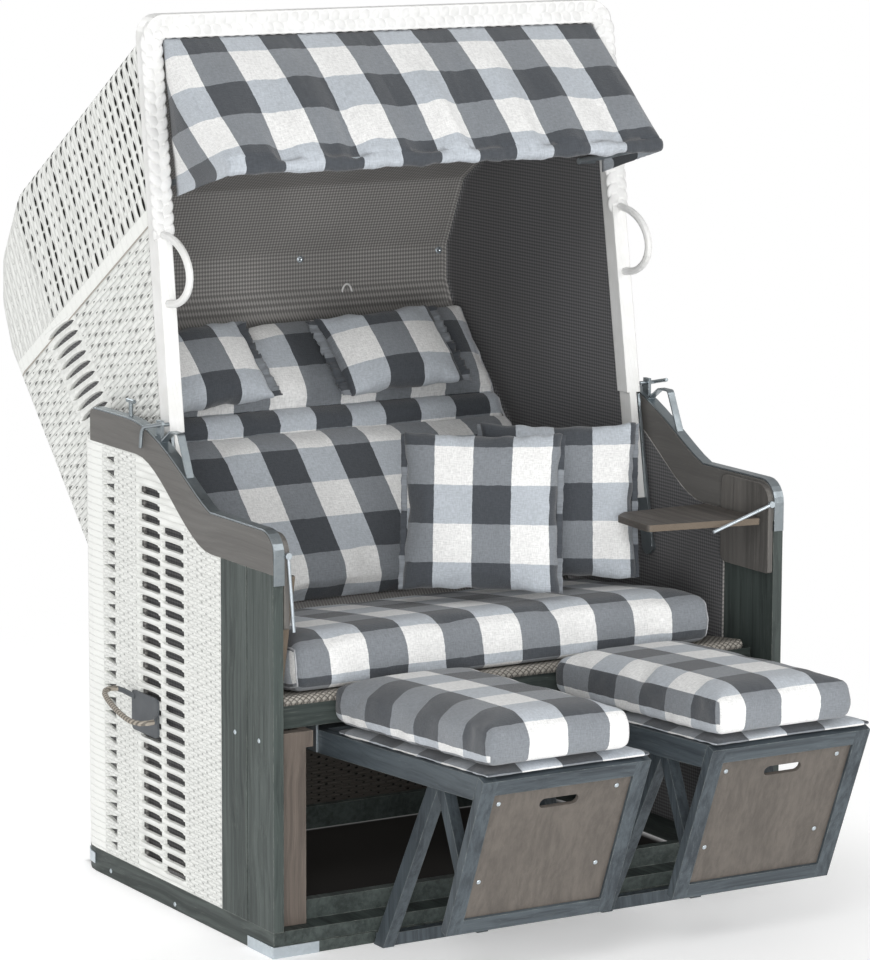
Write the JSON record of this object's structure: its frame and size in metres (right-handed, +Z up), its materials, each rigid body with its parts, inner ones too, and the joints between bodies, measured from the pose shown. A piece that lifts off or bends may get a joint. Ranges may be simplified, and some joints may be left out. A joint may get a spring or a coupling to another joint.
{
  "type": "hooded beach chair",
  "caption": "Two-seat hooded beach chair with a woven base and tilting hood, awning, loose cushions, folding side tables and footrests on folding legs.",
  "frame": {"origin": "on the floor under the middle of the chair's bounding box", "axes": "+X across the seat to the sitter's left as seen from the front right, +Y towards the back of the hood, +Z up"},
  "size_m": [1.183, 1.6338, 1.573],
  "materials": {
    "weave": "woven plastic strand, satin",
    "rim": "braided plastic strand, satin",
    "green_wood": "stained, satin",
    "grey_wood": "stained, satin",
    "blue_wood": "stained, satin",
    "brown_wood": "stained, satin",
    "dark_lining": "textured sheet, matt",
    "grey_lining": "textured sheet, matt",
    "steel": "galvanised",
    "check_cloth": "checked woven cloth",
    "handle": "matt"
  },
  "bodies": {
    "base": {"floor_frame": "green_wood", "rear_weave": "weave", "seat_rail": "blue_wood", "seat_board": "weave", "seat_cushion": "check_cloth", "throw_pillow_front": "check_cloth", "throw_pillow_rear": "check_cloth", "front_boards_left": "green_wood", "front_boards_right": "green_wood", "side_weave_left": "weave", "side_weave_right": "weave", "side_panel_left": "dark_lining", "side_panel_right": "dark_lining", "armrest_left": "grey_wood", "armrest_right": "grey_wood", "arm_rail_left": "steel", "arm_rail_right": "steel", "corner_bracket_front_left": "steel", "corner_bracket_front_right": "steel", "corner_bracket_rear_left": "steel", "corner_bracket_rear_right": "steel", "inner_post_left": "brown_wood", "inner_post_right": "brown_wood", "carry_handle_left": "handle", "carry_handle_right": "handle", "table_bracket_left": "grey_wood", "table_bracket_right": "grey_wood", "footrest_hinge_left": "steel", "footrest_hinge_right": "steel"},
    "hood": {"hood_shell": "weave", "hood_lining": "grey_lining", "hood_frame": "brown_wood", "hood_rim": "rim", "back_cushion": "check_cloth", "strap_left": "steel", "strap_right": "steel", "bow_handle_left": "rim", "bow_handle_right": "rim", "neck_pillow_left": "check_cloth", "neck_pillow_right": "check_cloth"},
    "awning": {"awning_frame": "steel", "awning_cloth": "check_cloth"},
    "lever_left": {"lever_left": "steel"},
    "table_left": {"table_top_left": "grey_wood"},
    "stay_left": {"stay_rod_left": "steel"},
    "footrest_left": {"footrest_frame_left": "blue_wood", "footrest_pad_left": "check_cloth", "footrest_cushion_left": "check_cloth"},
    "panel_left": {"footrest_panel_frame_left": "blue_wood", "footrest_panel_plate_left": "brown_wood"},
    "leg_left": {"footrest_leg_left": "blue_wood"},
    "lever_right": {"lever_right": "steel"},
    "table_right": {"table_top_right": "grey_wood"},
    "stay_right": {"stay_rod_right": "steel"},
    "footrest_right": {"footrest_frame_right": "blue_wood", "footrest_pad_right": "check_cloth", "footrest_cushion_right": "check_cloth"},
    "panel_right": {"footrest_panel_frame_right": "blue_wood", "footrest_panel_plate_right": "brown_wood"},
    "leg_right": {"footrest_leg_right": "blue_wood"}
  },
  "joints": [
    {"name": "hood_tilt", "type": "hinge", "parent": "base", "child": "hood", "pos_m": [0, 0.0429, 0.56], "axis": [-1, 0, 0], "range_deg": [0, 20]},
    {"name": "awning_tilt", "type": "hinge", "parent": "hood", "child": "awning", "pos_m": [0, 0.2019, 1.272], "axis": [-1, 0, 0], "range_deg": [0, 70], "deforming": ["awning_cloth"]},
    {"name": "lever_left_lift", "type": "hinge", "parent": "base", "child": "lever_left", "pos_m": [-0.53, 0.0844, 0.862], "axis": [1, 0, 0], "range_deg": [0, 60]},
    {"name": "table_left_fold", "type": "hinge", "parent": "base", "child": "table_left", "pos_m": [-0.485, -0.2631, 0.664], "axis": [0, -1, 0], "range_deg": [0, 91.5], "deforming": ["seat_cushion"]},
    {"name": "stay_left_swing", "type": "hinge", "parent": "base", "child": "stay_left", "pos_m": [-0.497, -0.3434, 0.697], "axis": [0, -1, 0], "range_deg": [0, 68.2]},
    {"name": "footrest_left_lift", "type": "hinge", "parent": "base", "child": "footrest_left", "pos_m": [-0.225, -0.2331, 0.345], "axis": [-1, 0, 0], "range_deg": [0, 8]},
    {"name": "footrest_left_leg_fold", "type": "hinge", "parent": "footrest_left", "child": "leg_left", "pos_m": [-0.225, -0.5581, 0.345], "axis": [-1, 0, 0], "range_deg": [0, 8.1]},
    {"name": "footrest_left_panel_swing", "type": "hinge", "parent": "footrest_left", "child": "panel_left", "pos_m": [-0.225, -0.7991, 0.3868], "axis": [-1, 0, 0], "range_deg": [0, 14.1]},
    {"name": "lever_right_lift", "type": "hinge", "parent": "base", "child": "lever_right", "pos_m": [0.53, 0.0844, 0.862], "axis": [1, 0, 0], "range_deg": [0, 60]},
    {"name": "table_right_fold", "type": "hinge", "parent": "base", "child": "table_right", "pos_m": [0.485, -0.2631, 0.664], "axis": [0, -1, 0], "range_deg": [0, 91.5], "deforming": ["seat_cushion"]},
    {"name": "stay_right_swing", "type": "hinge", "parent": "base", "child": "stay_right", "pos_m": [0.497, -0.3434, 0.697], "axis": [0, -1, 0], "range_deg": [0, 68.2]},
    {"name": "footrest_right_lift", "type": "hinge", "parent": "base", "child": "footrest_right", "pos_m": [0.225, -0.2331, 0.345], "axis": [-1, 0, 0], "range_deg": [0, 8]},
    {"name": "footrest_right_leg_fold", "type": "hinge", "parent": "footrest_right", "child": "leg_right", "pos_m": [0.225, -0.5581, 0.345], "axis": [-1, 0, 0], "range_deg": [0, 8.1]},
    {"name": "footrest_right_panel_swing", "type": "hinge", "parent": "footrest_right", "child": "panel_right", "pos_m": [0.225, -0.7991, 0.3868], "axis": [-1, 0, 0], "range_deg": [0, 14.1]}
  ],
  "couplings": [
    {"joint": "stay_left_swing", "follows": "table_left_fold", "ratio": 0.7443},
    {"joint": "footrest_left_leg_fold", "follows": "footrest_left_lift", "ratio": 1},
    {"joint": "footrest_left_panel_swing", "follows": "footrest_left_lift", "ratio": 1.75},
    {"joint": "stay_right_swing", "follows": "table_right_fold", "ratio": 0.7443},
    {"joint": "footrest_right_leg_fold", "follows": "footrest_right_lift", "ratio": 1},
    {"joint": "footrest_right_panel_swing", "follows": "footrest_right_lift", "ratio": 1.75}
  ]
}
